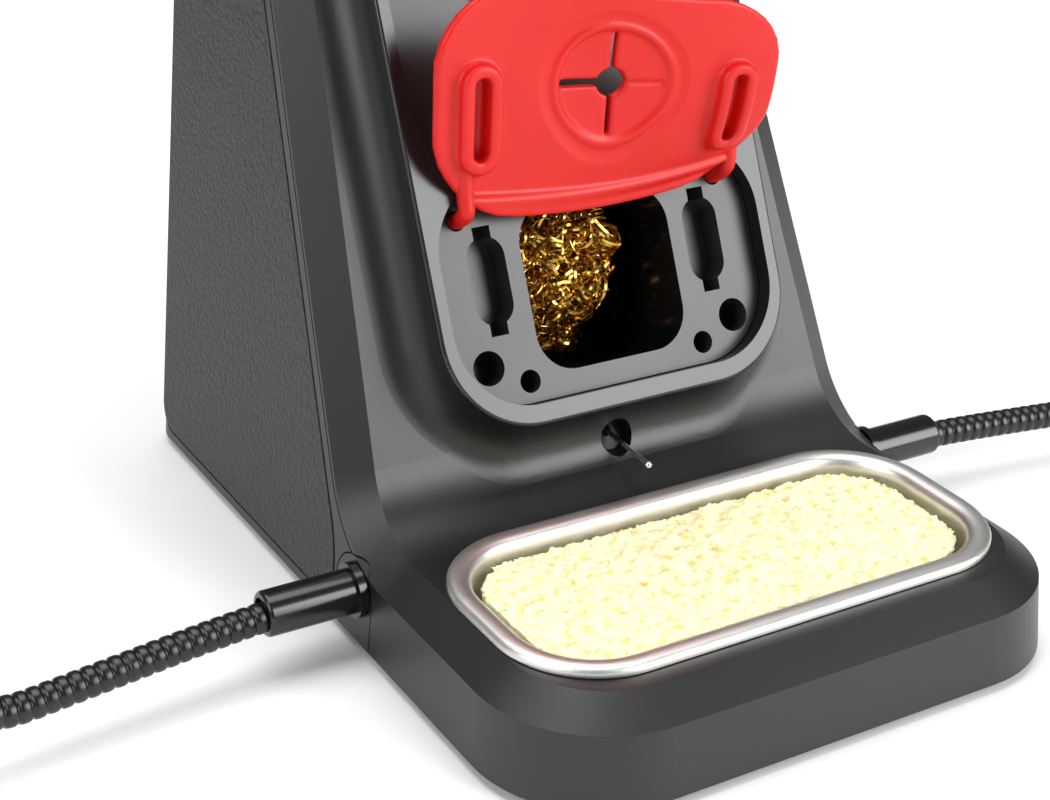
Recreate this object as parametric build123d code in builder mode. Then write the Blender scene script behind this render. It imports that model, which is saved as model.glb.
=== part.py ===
from build123d import *
import os
from math import atan2, cos, radians, sin, sqrt

# Soldering iron station, millimetres. Z = 0 is the table, -Y is the front, +X is the right.
# The origin is the middle of the body's footprint.

# ---- driving dimensions ----
BODY_W = 125.0          # width over the housing at its bottom edge
BODY_D = 179.8          # depth over the housing
BODY_TOP = 170.0        # roof height above the table
FOOT_H = 2.0            # the housing floats this far above the table
WALL = 2.5              # moulded wall thickness
DRAFT = 0.08            # the side walls lean in by this much per millimetre of height
SHOE_TOP = 20.8         # top face of the low front shoe
LEAN = 24.6             # degrees that the front leans back from the vertical
SWEEP_R = 20.0          # concave radius between the shoe and the leaning front
FACET_FLAT = 6.5        # width of the facet measured on the front faces
FACET_SIDE = 4.5        # width of the facet measured on the side walls
SHOE_CORNER_R = 25.0    # plan radius of the shoe's front corners
BACK_CORNER_R = 11.0
ROOF_R = 4.0            # rounding round the roof
SEAM_GAP = 0.4          # shadow gap between the front and rear mouldings
SEAM_STEP = 0.7         # the seam runs this far behind the facet's rear edge

PLATE_RISE = 12.0       # the front plate stands this far above the leaning front
PLATE_HALF_W = 40.2
PLATE_T = (-15.5, 116.0)    # bottom and top of the front plate, along the lean
PLATE_R = 19.1
DISH_HALF_W = 37.3      # both recesses have this half width
DISH_R = 16.2
LOWER_DISH_T = (-11.4, 34.7)
UPPER_DISH_T = (38.6, 112.0)
DISH_DEPTH = 3.9
INSERT_GAP = 0.2

CHAMBER_HALF_W = 17.5   # mouth of the brass wool chamber
CHAMBER_T = (-6.4, 27.2)
CHAMBER_R = 8.1
CHAMBER_BOTTOM = -48.0
POCKET_X = 25.3         # stadium pockets either side of the chamber
POCKET_T = 13.9
POCKET_W = 8.4
POCKET_L = 17.6
POCKET_DEPTH = 6.0
NOTCH_W = 3.9
NOTCH_L = 21.6
BIG_TIP = (29.2, -2.7, 3.45)      # x, height along the lean, radius
SMALL_TIP = (20.7, -6.9, 2.3)
TIP_HOLE_DEPTH = 7.4
STRAP_X = 30.3
STRAP_T = 26.5
STRAP_R = 1.7

HOLDER_T = 80.0         # centre of the iron holder, along the lean
HOLDER_BORE_R = 10.0
HOLDER_BOTTOM = -58.0

COVER_T = (-10.2, 32.2)     # the cover's lower and upper edge when it is shut
COVER_HALF_W = 35.6
COVER_THICK = 2.0
COVER_R = 15.5
HINGE_T = 30.6          # the straps bend about here, on the plate's face
BEAD_X = 27.5           # round beads on the bending line, either side
BEAD_R = 1.1
BEAD_L = 3.0

TRAY_Y = (-78.2, -26.0)     # outer edge of the rolled rim
TRAY_HALF_W = 54.6
TRAY_R = 19.4
RIM_W = 5.2
TRAY_FLOOR = 7.0
RIM_TOP = 22.8

ARM_Y, ARM_Z = -18.0, 12.9
NECK_R = 3.0
NECK_END = 4.2          # distance from a bending point to the rounded end of a length
ARM_POINTS = [(84.5, -18.5, 12.7), (134, -23.6, 10.6), (183, -30, 32), (207, -38, 78), (204, -46, 127)]

SPOOL_Y, SPOOL_Z = 60.0, 31.0
SPOOL_R = 22.5
SPOOL_HALF_W = 20.0
WIRE_Z = 29.1
WIRE_R = 0.5

os.makedirs("parts", exist_ok=True)

SIN, COS = sin(radians(LEAN)), cos(radians(LEAN))
# the front plate's face: X across, local Y up along the lean, local Z out of the face
FACE = Plane(origin=(0, -13.1, 53.6), x_dir=(1, 0, 0), z_dir=(0, -COS, SIN))


def on_face(t, n):
    """Y and Z of a point at height t along the lean and distance n in front of the plate."""
    return (-13.1 + t * SIN - n * COS, 53.6 + t * COS + n * SIN)


def front_line(offset, z):
    """Y of the leaning front at height z, moved back into the body by offset."""
    y0, z0 = on_face(0, -PLATE_RISE - offset)
    return y0 + (z - z0) * SIN / COS


def sweep_centre():
    """Centre of the concave sweep between the shoe's top and the leaning front."""
    z = SHOE_TOP + SWEEP_R
    return (front_line(0, z) - SWEEP_R / COS, z)


def export(part, name):
    part.label = name
    export_step(part, f"parts/{name}.step")


def export_pair(part, name):
    """Writes the right-hand piece and its mirror image on the left."""
    export(part, f"right_{name}")
    export(part.mirror(Plane.YZ), f"left_{name}")


def face_slab(half_w, t_range, radius, n_low, n_high):
    """A rounded slab lying parallel to the front plate, between two distances from its face."""
    with BuildPart() as slab:
        with BuildSketch(FACE.offset(n_low)):
            with Locations((0, sum(t_range) / 2)):
                RectangleRounded(2 * half_w, t_range[1] - t_range[0], radius)
        extrude(amount=n_high - n_low)
    return slab.part


def grown(t_range, amount):
    return (t_range[0] - amount, t_range[1] + amount)


def body_block(inset):
    """The closed outer form of the housing, shrunk by inset; zero gives the outer skin."""
    low, top, back = FOOT_H, BODY_TOP - inset, BODY_D / 2 - inset
    front, shoe = -BODY_D / 2 + inset, SHOE_TOP - inset
    cy, cz = sweep_centre()
    radius = SWEEP_R + inset
    bend = (cy + radius * COS, cz - radius * SIN)
    middle = (cy + radius * sin(radians(33)), cz - radius * cos(radians(33)))
    with BuildPart() as block:
        with BuildSketch(Plane.YZ):
            with BuildLine():
                Polyline((cy, shoe), (front + 1.7, shoe), (front, low), (back, low), (back, top),
                         (front_line(inset, top), top), bend)
                ThreePointArc(bend, middle, (cy, shoe))
            make_face()
        extrude(amount=BODY_W / 2, both=True)
        half_low, half_top = BODY_W / 2 - inset, BODY_W / 2 - inset - DRAFT * (top - low)
        with BuildSketch(Plane.XZ):
            with BuildLine():
                Polyline((-half_low, low), (half_low, low), (half_top, top), (-half_top, top), close=True)
            make_face()
        extrude(amount=BODY_D, both=True, mode=Mode.INTERSECT)
        upright = [e for e in block.edges() if abs(e.tangent_at(0.5).Z) > 0.9]
        fillet([e for e in upright if e.center().Y < front + 3], SHOE_CORNER_R - inset)
        fillet([e for e in upright if e.center().Y > back - 1], BACK_CORNER_R - inset)
    return block.part


def skin(inset):
    """The body block with the flat facet that runs round the shoe and up both front edges."""
    with BuildPart() as block:
        add(body_block(inset))
        shoe_face = block.faces().sort_by(lambda f: abs(f.center().Z - (SHOE_TOP - inset)))[0]
        front_edge = shoe_face.edges().sort_by(Axis.Y)[0]
        chamfer(front_edge, FACET_FLAT, FACET_SIDE, reference=shoe_face)
        fillet(block.faces().sort_by(Axis.Z)[-1].edges(), ROOF_R - inset)
    return block.part


def face_height(point):
    """Distance of a point in front of the front plate; negative inside the body."""
    return FACE.to_local_coords(Vector(point.X, point.Y, point.Z)).Z


# Outer form: the facetted block and the plinth that carries the front plate, flared at its foot
PLATE_THICK = 1.5
FLARE_R = 8.0
with BuildPart() as outer:
    add(skin(0))
    add(face_slab(PLATE_HALF_W, PLATE_T, PLATE_R, -PLATE_RISE - 5, -PLATE_THICK))
    foot = [e for e in outer.edges()
            if abs(e.center().X) < PLATE_HALF_W + 1
            and abs(face_height(e.center()) + PLATE_RISE) < 0.2
            and e.center().Z < BODY_TOP - 5]
    fillet(foot, FLARE_R)
inner = skin(WALL)

SEAM_Y = -18.5
COLLAR_WALL = 0.8
COLLAR_BOTTOM = -13.0
FLANGE_BOTTOM = -15.0
OPENING_GAP = 1.1       # from a dish wall to the plinth's opening
WIRE_HOLE_R = 3.75
ARCH_HALF_W, ARCH_TOP = 7.4, 19.0
ARCH_X = 57.5           # the arch cuts only the side wall, from here outwards
ARCH_OFFSET = 1.5       # the arch sits this far behind the socket
BOSS_R = 3.2
SCREW_R = 1.5
FRONT_SCREWS = [(54.4, -48.0), (-54.4, -48.0)]
REAR_SCREWS = [(54.4, 81.5), (-54.4, 81.5)]
DOOR_HALF_W, DOOR_Z = 30.0, (14.0, 120.0)
PANEL_THICK = 1.3
PANEL_GAP = 0.5


def seam_cutter(gap):
    """Everything in front of the seam between the two housing mouldings."""
    cy, cz = sweep_centre()
    radius = SWEEP_R + FACET_SIDE + SEAM_STEP + gap
    start = (SEAM_Y + gap, cz - sqrt(radius ** 2 - (SEAM_Y + gap - cy) ** 2))
    bend = (cy + radius * COS, cz - radius * SIN)
    half_turn = (atan2(start[1] - cz, start[0] - cy) + atan2(bend[1] - cz, bend[0] - cy)) / 2
    middle = (cy + radius * cos(half_turn), cz + radius * sin(half_turn))
    above = BODY_TOP + 20
    with BuildPart() as cutter:
        with BuildSketch(Plane.YZ):
            with BuildLine():
                Polyline(bend, (front_line(FACET_SIDE + SEAM_STEP + gap, above), above), (-BODY_D, above),
                         (-BODY_D, -10), (SEAM_Y + gap, -10), start)
                ThreePointArc(start, middle, bend)
            make_face()
        extrude(amount=BODY_W, both=True)
    return cutter.part


def arch(half_w, top, x_low, x_high):
    """The arch round an arm socket, as a bar along X on the right-hand side."""
    with BuildPart() as bar:
        with BuildSketch(Plane.YZ.offset(x_low)):
            with Locations((ARM_Y + ARCH_OFFSET, (top - half_w) / 2)):
                Rectangle(2 * half_w, top - half_w)
            with Locations((ARM_Y + ARCH_OFFSET, top - half_w)):
                Circle(half_w)
        extrude(amount=x_high - x_low)
    return bar.part


def screw_bosses(places, top):
    with BuildPart() as bosses:
        with BuildSketch(Plane.XY.offset(FOOT_H + WALL)):
            with Locations(*places):
                Circle(BOSS_R)
                Circle(SCREW_R + 0.1, mode=Mode.SUBTRACT)
        extrude(amount=top - FOOT_H - WALL)
    return bosses.part


# The side walls lean in; the right-hand wall's plane has local X to the back and local Y up
SIDE = Plane(origin=(BODY_W / 2, 0, FOOT_H), x_dir=(0, 1, 0), z_dir=(1, 0, DRAFT))


def side_slab(margin, low, high):
    """The textured side panel's outline, shrunk by margin, between two depths on the wall."""
    front, bottom, back, top = -7.5, 2.5, 82.5, 158.0
    line_y = front_line(FACET_SIDE + 3.8, 0)
    slope = SIN / COS
    knee = (front - line_y) / slope - FOOT_H
    with BuildPart() as slab:
        with BuildSketch(SIDE.offset(low)):
            with BuildLine():
                Polyline((front, bottom), (back, bottom), (back, top),
                         (line_y + slope * (top + FOOT_H), top), (front, knee), close=True)
            make_face()
            fillet(vertices().sort_by(Axis.Y)[:2], 6)
            fillet(vertices().filter_by(lambda v: abs(v.Y - knee) < 0.1), 26)
            fillet(vertices().filter_by(lambda v: abs(v.Y - top) < 0.1), 5)
            if margin:
                offset(amount=-margin, kind=Kind.ARC, mode=Mode.REPLACE)
        extrude(amount=high - low)
    return slab.part


# Front housing: the leaning front, its plinth and the shoe in one moulding
with BuildPart() as front_housing:
    add(outer.part)
    add(inner, mode=Mode.SUBTRACT)
    add(screw_bosses(FRONT_SCREWS, SHOE_TOP - WALL - 0.5))
    add(seam_cutter(0), mode=Mode.INTERSECT)
    opening = (LOWER_DISH_T[0], UPPER_DISH_T[1])
    add(face_slab(DISH_HALF_W + OPENING_GAP, grown(opening, OPENING_GAP), DISH_R + OPENING_GAP, -25, 5),
        mode=Mode.SUBTRACT)
    with BuildSketch(Plane.XY.offset(SHOE_TOP + 5)):
        with Locations((0, sum(TRAY_Y) / 2)):
            RectangleRounded(2 * (TRAY_HALF_W - RIM_W + 0.8), TRAY_Y[1] - TRAY_Y[0] - 2 * RIM_W + 1.6,
                             TRAY_R - RIM_W + 0.8)
    extrude(amount=-15, mode=Mode.SUBTRACT)
    with Locations(Plane(origin=(0, -12, WIRE_Z), z_dir=(0, -1, 0))):
        Cylinder(WIRE_HOLE_R, 24, mode=Mode.SUBTRACT)
    add(arch(ARCH_HALF_W + 0.3, ARCH_TOP + 0.3, ARCH_X, 70), mode=Mode.SUBTRACT)
    add(arch(ARCH_HALF_W + 0.3, ARCH_TOP + 0.3, ARCH_X, 70).mirror(Plane.YZ), mode=Mode.SUBTRACT)
export(front_housing.part, "front_housing")

# Rear housing: both side walls, the back and the roof
with BuildPart() as rear_housing:
    add(outer.part)
    add(inner, mode=Mode.SUBTRACT)
    add(screw_bosses(REAR_SCREWS, 25))
    add(seam_cutter(SEAM_GAP), mode=Mode.SUBTRACT)
    for slab in (side_slab(-PANEL_GAP, -PANEL_THICK + 0.1, 1),
                 arch(ARCH_HALF_W + 0.3, ARCH_TOP + 0.3, ARCH_X, 70)):
        add(slab, mode=Mode.SUBTRACT)
        add(slab.mirror(Plane.YZ), mode=Mode.SUBTRACT)
    with BuildSketch(Plane.XZ.offset(-BODY_D / 2 - 2)):
        with Locations((0, sum(DOOR_Z) / 2)):
            RectangleRounded(2 * DOOR_HALF_W, DOOR_Z[1] - DOOR_Z[0], 5)
    extrude(amount=6, mode=Mode.SUBTRACT)
export(rear_housing.part, "rear_housing")

# Textured side panels, let into the side walls
export_pair(side_slab(0, -PANEL_THICK + 0.1, 0.1), "side_panel")

# Rear cover: a flush plate over the solder bay with two snap tabs; it pulls straight back
with BuildPart() as rear_cover:
    with BuildSketch(Plane.XZ.offset(-BODY_D / 2)):
        with Locations((0, sum(DOOR_Z) / 2)):
            RectangleRounded(2 * DOOR_HALF_W - 0.8, DOOR_Z[1] - DOOR_Z[0] - 0.8, 4.6)
    extrude(amount=WALL)
    with BuildSketch(Plane.XZ.offset(-BODY_D / 2 + WALL)):
        with Locations((0, DOOR_Z[0] + 2.4), (0, DOOR_Z[1] - 2.4)):
            Rectangle(12, 2)
    extrude(amount=5)
    with BuildSketch(Plane.XZ.offset(-BODY_D / 2)):
        with Locations(*[(0, sum(DOOR_Z) / 2 + 5 * row) for row in range(-4, 5)]):
            SlotOverall(36, 2)
    extrude(amount=WALL, mode=Mode.SUBTRACT)
export(rear_cover.part, "rear_cover")

# Base plate with holes for the feet and screws
FOOT_PLACES = [(44, -68), (-44, -68), (46, 72), (-46, 72)]
FOOT_R, FOOT_STEM_R = 7.0, 2.9
with BuildPart() as base_plate:
    add(body_block(WALL + 0.2))
    with BuildSketch(Plane.XY.offset(FOOT_H)):
        Rectangle(2 * BODY_W, 2 * BODY_D)
    extrude(amount=WALL, mode=Mode.INTERSECT)
    with Locations(*[(x, y, FOOT_H) for x, y in FOOT_PLACES]):
        Cylinder(FOOT_STEM_R + 0.1, 3 * WALL, mode=Mode.SUBTRACT)
    with Locations(*[(x, y, FOOT_H) for x, y in FRONT_SCREWS + REAR_SCREWS]):
        Cylinder(SCREW_R + 0.2, 3 * WALL, mode=Mode.SUBTRACT)
        Cylinder(3.1, 2 * 1.4, mode=Mode.SUBTRACT)
export(base_plate.part, "base_plate")

# Steel ballast plate on the base plate, under the tower
with BuildPart() as ballast_plate:
    with Locations((0, 4, FOOT_H + WALL)):
        Box(92, 46, 4, align=(Align.CENTER, Align.CENTER, Align.MIN))
    fillet(ballast_plate.edges().filter_by(Axis.Z), 4)
export(ballast_plate.part, "ballast_plate")

# Rubber feet pushed into the base plate
with BuildPart() as rubber_feet:
    with Locations(*[(x, y, 0) for x, y in FOOT_PLACES]):
        Cylinder(FOOT_R, FOOT_H, align=(Align.CENTER, Align.CENTER, Align.MIN))
    chamfer(rubber_feet.edges().group_by(Axis.Z)[0], 0.5)
    with Locations(*[(x, y, FOOT_H) for x, y in FOOT_PLACES]):
        Cylinder(FOOT_STEM_R, WALL - 0.2, align=(Align.CENTER, Align.CENTER, Align.MIN))
export(rubber_feet.part, "rubber_feet")

# Pan-head screws from below into the housing's bosses
with BuildPart() as base_screws:
    with Locations(*[(x, y, FOOT_H + 0.2) for x, y in FRONT_SCREWS + REAR_SCREWS]):
        Cylinder(2.9, 1.1, align=(Align.CENTER, Align.CENTER, Align.MIN))
        Cylinder(SCREW_R, 10, align=(Align.CENTER, Align.CENTER, Align.MIN))
    with Locations(*[(x, y, FOOT_H) for x, y in FRONT_SCREWS + REAR_SCREWS]):
        Box(3.6, 0.8, 1.4, mode=Mode.SUBTRACT)
        Box(0.8, 3.6, 1.4, mode=Mode.SUBTRACT)
export(base_screws.part, "base_screws")

# Front plate: the raised rim round both dishes, with a collar down each dish wall
with BuildPart() as front_bezel:
    add(face_slab(PLATE_HALF_W, PLATE_T, PLATE_R, -PLATE_THICK, 0))
    fillet(front_bezel.edges().filter_by(lambda e: abs(face_height(e.center())) < 0.01), 0.7)
    for dish in (LOWER_DISH_T, UPPER_DISH_T):
        add(face_slab(DISH_HALF_W + COLLAR_WALL, grown(dish, COLLAR_WALL), DISH_R + COLLAR_WALL,
                      COLLAR_BOTTOM, -PLATE_THICK))
    for dish in (LOWER_DISH_T, UPPER_DISH_T):
        add(face_slab(DISH_HALF_W, dish, DISH_R, COLLAR_BOTTOM - 1, 1), mode=Mode.SUBTRACT)
export(front_bezel.part, "front_bezel")


def dish_insert(dish):
    """The floor of a dish: a thick plate whose flange sits under the front plate's collar."""
    with BuildPart() as insert:
        add(face_slab(DISH_HALF_W - INSERT_GAP, grown(dish, -INSERT_GAP), DISH_R - INSERT_GAP,
                      FLANGE_BOTTOM, -DISH_DEPTH))
        add(face_slab(DISH_HALF_W + COLLAR_WALL, grown(dish, COLLAR_WALL), DISH_R + COLLAR_WALL,
                      FLANGE_BOTTOM, COLLAR_BOTTOM))
    return insert.part


# Tip tray: the lower dish's floor, with the chamber mouth, pockets, tip holes and strap holes
with BuildPart() as tip_tray:
    add(dish_insert(LOWER_DISH_T))
    add(face_slab(CHAMBER_HALF_W, CHAMBER_T, CHAMBER_R, FLANGE_BOTTOM - 1, 0), mode=Mode.SUBTRACT)
    with BuildSketch(FACE.offset(-DISH_DEPTH)):
        with Locations((POCKET_X, POCKET_T), (-POCKET_X, POCKET_T)):
            SlotOverall(POCKET_L, POCKET_W, rotation=90)
            Rectangle(NOTCH_W, NOTCH_L)
    extrude(amount=-POCKET_DEPTH, mode=Mode.SUBTRACT)
    for x, t, radius in (BIG_TIP, SMALL_TIP):
        with BuildSketch(FACE.offset(-DISH_DEPTH)):
            with Locations((x, t), (-x, t)):
                Circle(radius)
        extrude(amount=-TIP_HOLE_DEPTH, mode=Mode.SUBTRACT)
    with BuildSketch(FACE.offset(0)):
        with Locations((STRAP_X, STRAP_T), (-STRAP_X, STRAP_T)):
            Circle(STRAP_R + 0.3)
    extrude(amount=-30, mode=Mode.SUBTRACT)
export(tip_tray.part, "tip_tray")

# Brass wool chamber: an open box hung under the tip tray
CHAMBER_WALL = 1.5
with BuildPart() as wool_box:
    add(face_slab(CHAMBER_HALF_W + CHAMBER_WALL, grown(CHAMBER_T, CHAMBER_WALL), CHAMBER_R + CHAMBER_WALL,
                  CHAMBER_BOTTOM, FLANGE_BOTTOM))
    add(face_slab(CHAMBER_HALF_W, CHAMBER_T, CHAMBER_R, CHAMBER_BOTTOM + CHAMBER_WALL, 0), mode=Mode.SUBTRACT)
export(wool_box.part, "wool_box")

# Ball of brass turnings, pushed to the left of its chamber
with BuildPart() as brass_wool:
    with BuildSketch(FACE.offset(CHAMBER_BOTTOM + CHAMBER_WALL + 0.3)):
        with Locations((-4.4, sum(CHAMBER_T) / 2)):
            RectangleRounded(24.4, 31.6, 7)
    extrude(amount=36)
    fillet(brass_wool.edges().filter_by(lambda e: face_height(e.center()) > -15), 5)
export(brass_wool.part, "brass_wool")

# Iron holder: the upper dish's floor, a heat-proof ring, a flared steel funnel and a vented tube
HOLDER_OPENING_R = 19.0
HOLDER_AXIS = Plane(origin=(0, *on_face(HOLDER_T, 0)), x_dir=(1, 0, 0), z_dir=FACE.z_dir)
with BuildPart() as holder_plate:
    add(dish_insert(UPPER_DISH_T))
    with BuildSketch(HOLDER_AXIS.offset(1)):
        Circle(HOLDER_OPENING_R)
    extrude(amount=-30, mode=Mode.SUBTRACT)
export(holder_plate.part, "holder_plate")


def turned(points):
    """A ring turned about the holder's axis from its half section (radius, height)."""
    with BuildPart() as ring:
        with BuildSketch(Plane(origin=HOLDER_AXIS.origin, x_dir=(1, 0, 0), z_dir=(0, -SIN, -COS))):
            with BuildLine():
                Polyline(*points, close=True)
            make_face()
        revolve(axis=Axis(HOLDER_AXIS.origin, FACE.z_dir))
    return ring.part


export(turned([(16.0, -15.0), (18.8, -15.0), (18.8, -3.4), (20.6, -3.4), (20.6, -1.8), (16.9, -1.8),
               (16.0, -4.0)]), "holder_ring")
export(turned([(10.9, -22.0), (11.7, -22.0), (15.8, -4.2), (16.8, -1.6), (18.0, -1.6), (18.0, -0.8),
               (16.2, -0.8), (15.0, -4.4)]), "iron_funnel")
with BuildPart() as iron_tube:
    add(turned([(HOLDER_BORE_R, HOLDER_BOTTOM), (HOLDER_BORE_R + 0.8, HOLDER_BOTTOM),
                (HOLDER_BORE_R + 0.8, -22.1), (HOLDER_BORE_R, -22.1)]))
export(iron_tube.part, "iron_tube")

# Silicone cover, lifted: a thin plate with two hollow bosses and a slit disc on its inner face.
# Its own plane lies on the hinge line, local Y up the cover and local Z out of the inner face.
COVER = Plane(origin=(0, *on_face(HINGE_T, 0)), x_dir=(1, 0, 0), z_dir=(0, -1, 0))
COVER_INNER = 1.2       # inner face, from the hinge line
BOSS_H = 2.6
DISC_R = 17.0
COVER_V = (HINGE_T - COVER_T[1], HINGE_T - COVER_T[0])
with BuildPart() as silicone_cover:
    with BuildSketch(COVER.offset(COVER_INNER - COVER_THICK)):
        with Locations((0, sum(COVER_V) / 2)):
            RectangleRounded(2 * COVER_HALF_W, COVER_V[1] - COVER_V[0], COVER_R)
    extrude(amount=COVER_THICK)
    with BuildSketch(COVER.offset(COVER_INNER)):
        with Locations((0, HINGE_T - 10.4)):
            Circle(DISC_R)
    extrude(amount=0.8)
    with BuildSketch(COVER.offset(COVER_INNER)):
        with Locations((POCKET_X, HINGE_T - POCKET_T), (-POCKET_X, HINGE_T - POCKET_T)):
            SlotOverall(25, 10.4, rotation=90)
    extrude(amount=BOSS_H)
    with BuildSketch(COVER.offset(COVER_INNER + BOSS_H)):
        with Locations((POCKET_X, HINGE_T - POCKET_T), (-POCKET_X, HINGE_T - POCKET_T)):
            SlotOverall(18, 3.4, rotation=90)
    extrude(amount=-BOSS_H - 1, mode=Mode.SUBTRACT)
    with BuildSketch(COVER.offset(COVER_INNER + 2)):
        with Locations((0, HINGE_T - 10.4)):
            Circle(3)
            Rectangle(27, 0.8)
            Rectangle(0.8, 27)
    extrude(amount=-6, mode=Mode.SUBTRACT)
    with BuildSketch(COVER.offset(COVER_INNER - COVER_THICK)):
        with Locations((BEAD_X, 2), (-BEAD_X, 2)):
            Rectangle(BEAD_L, 4)
    extrude(amount=COVER_THICK)
    with Locations(*[Plane(origin=(x, *on_face(HINGE_T, 0)), z_dir=(1, 0, 0)) for x in (BEAD_X, -BEAD_X)]):
        Cylinder(BEAD_R, BEAD_L)
export(silicone_cover.part, "silicone_cover")

# The cover's two straps, each held in its hole by a bulb under the tip tray
with BuildPart() as cover_straps:
    for n_low, n_high, radius in ((-17.4, -15.2, 3.2), (-15.2, -1.7, STRAP_R)):
        with BuildSketch(FACE.offset(n_low)):
            with Locations((STRAP_X, STRAP_T), (-STRAP_X, STRAP_T)):
                Circle(radius)
        extrude(amount=n_high - n_low)
export(cover_straps.part, "cover_straps")

# Deep-drawn steel tray hanging by its rolled rim, and its sponge
RIM_LOW = SHOE_TOP + 0.1
SHEET = 0.8
tray_y = sum(TRAY_Y) / 2
depth_y = TRAY_Y[1] - TRAY_Y[0]
with BuildPart() as tray_hollow:
    with BuildSketch(Plane.XY.offset(TRAY_FLOOR + SHEET)):
        with Locations((0, tray_y)):
            RectangleRounded(2 * (TRAY_HALF_W - RIM_W - SHEET), depth_y - 2 * (RIM_W + SHEET),
                             TRAY_R - RIM_W - SHEET)
    extrude(amount=30)
    fillet(tray_hollow.edges().group_by(Axis.Z)[0], 4 - SHEET)
with BuildPart() as sponge_tray:
    with BuildSketch(Plane.XY.offset(TRAY_FLOOR)):
        with Locations((0, tray_y)):
            RectangleRounded(2 * (TRAY_HALF_W - RIM_W), depth_y - 2 * RIM_W, TRAY_R - RIM_W)
    extrude(amount=RIM_LOW - TRAY_FLOOR)
    fillet(sponge_tray.edges().group_by(Axis.Z)[0], 4)
    with BuildSketch(Plane.XY.offset(RIM_LOW)):
        with Locations((0, tray_y)):
            RectangleRounded(2 * TRAY_HALF_W, depth_y, TRAY_R)
    extrude(amount=RIM_TOP - RIM_LOW)
    fillet(sponge_tray.edges().group_by(Axis.Z)[-1], 1.5)
    add(tray_hollow.part, mode=Mode.SUBTRACT)
export(sponge_tray.part, "sponge_tray")

with BuildPart() as sponge:
    with BuildSketch(Plane.XY.offset(TRAY_FLOOR + 1.1)):
        with Locations((0, tray_y)):
            RectangleRounded(2 * (TRAY_HALF_W - RIM_W - 1.4), depth_y - 2 * (RIM_W + 1.4), TRAY_R - RIM_W - 1.4)
    extrude(amount=12.3)
    fillet(sponge.edges().group_by(Axis.Z)[0], 3.4)
export(sponge.part, "sponge")

# Solder feed: spool on an axle between two brackets, and the wire led out through a guide
with BuildPart() as spool_brackets:
    with BuildSketch(Plane.YZ.offset(24)):
        with Locations((SPOOL_Y, (FOOT_H + WALL + SPOOL_Z) / 2)):
            Rectangle(16, SPOOL_Z - FOOT_H - WALL)
        with Locations((SPOOL_Y, SPOOL_Z)):
            Circle(8)
            Circle(4.05, mode=Mode.SUBTRACT)
    extrude(amount=3)
    mirror(about=Plane.YZ)
export(spool_brackets.part, "spool_brackets")


def along_x(radius, x_low, x_high, bore=0.0):
    """A round bar or tube about the spool's axis."""
    with BuildPart() as bar:
        with BuildSketch(Plane.YZ.offset(x_low)):
            with Locations((SPOOL_Y, SPOOL_Z)):
                Circle(radius)
                if bore:
                    Circle(bore, mode=Mode.SUBTRACT)
        extrude(amount=x_high - x_low)
    return bar.part


AXLE_R = 4.0
HUB_R = 7.0
with BuildPart() as solder_spool:
    add(along_x(HUB_R, -SPOOL_HALF_W, SPOOL_HALF_W, AXLE_R + 0.15))
    add(along_x(SPOOL_R, -SPOOL_HALF_W, -SPOOL_HALF_W + 2, AXLE_R + 0.15))
    add(along_x(SPOOL_R, SPOOL_HALF_W - 2, SPOOL_HALF_W, AXLE_R + 0.15))
export(solder_spool.part, "solder_spool")
WINDING_GAP = 0.05
export(along_x(19.0, -SPOOL_HALF_W + 2 + WINDING_GAP, SPOOL_HALF_W - 2 - WINDING_GAP, HUB_R + WINDING_GAP),
       "solder_winding")
export(along_x(AXLE_R, -28.5, 28.5), "spool_axle")

with BuildPart() as wire_guide:
    with Locations(Plane(origin=(0, -3, WIRE_Z - 0.4), z_dir=(0, -1, 0))):
        Cylinder(5.5, 18)
    add(inner, mode=Mode.INTERSECT)
    with Locations(Plane(origin=(0, -3, WIRE_Z - 0.4), z_dir=(0, -1, 0))):
        Cylinder(1.2, 40, mode=Mode.SUBTRACT)
export(wire_guide.part, "wire_guide")

WIRE_TIP = (0, -24.8, WIRE_Z - 1.2)
with BuildPart() as solder_wire:
    with BuildLine() as wire_path:
        FilletPolyline(WIRE_TIP, (0, -6, WIRE_Z - 0.3), (0, 14, WIRE_Z - 0.8), (0, 50, 11.0), radius=16)
    with BuildSketch(Plane(origin=wire_path.line @ 0, z_dir=wire_path.line % 0)):
        Circle(WIRE_R)
    sweep()
    with Locations(WIRE_TIP):
        Sphere(0.8)
export(solder_wire.part, "solder_wire")

# Arms: each has a socket through the side wall, a nut inside and an arch-shaped filler
SOCKET_R = 4.5
THREAD_R = 3.6
SOCKET_END = 81.5


def on_arm_axis(radius, x_low, x_high, bore=0.0):
    with BuildPart() as bar:
        with BuildSketch(Plane.YZ.offset(x_low)):
            with Locations((ARM_Y, ARM_Z)):
                Circle(radius)
                if bore:
                    Circle(bore, mode=Mode.SUBTRACT)
        extrude(amount=x_high - x_low)
    return bar.part


with BuildPart() as arm_socket:
    add(on_arm_axis(THREAD_R, 50, 59))
    add(on_arm_axis(SOCKET_R, 58.6, SOCKET_END))
    add(on_arm_axis(SOCKET_R + 1, 61.8, 63.4))
    fillet(arm_socket.edges().filter_by(lambda e: abs(e.center().X - SOCKET_END) < 0.01), 0.8)
    add(on_arm_axis(NECK_R + 0.3, SOCKET_END - 12, SOCKET_END + 1), mode=Mode.SUBTRACT)
export_pair(arm_socket.part, "arm_socket")

with BuildPart() as arm_nut:
    with BuildSketch(Plane.YZ.offset(51.4)):
        with Locations((ARM_Y, ARM_Z)):
            RegularPolygon(5.2, 6)
            Circle(THREAD_R + 0.05, mode=Mode.SUBTRACT)
    extrude(amount=3.2)
export_pair(arm_nut.part, "arm_nut")

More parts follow.
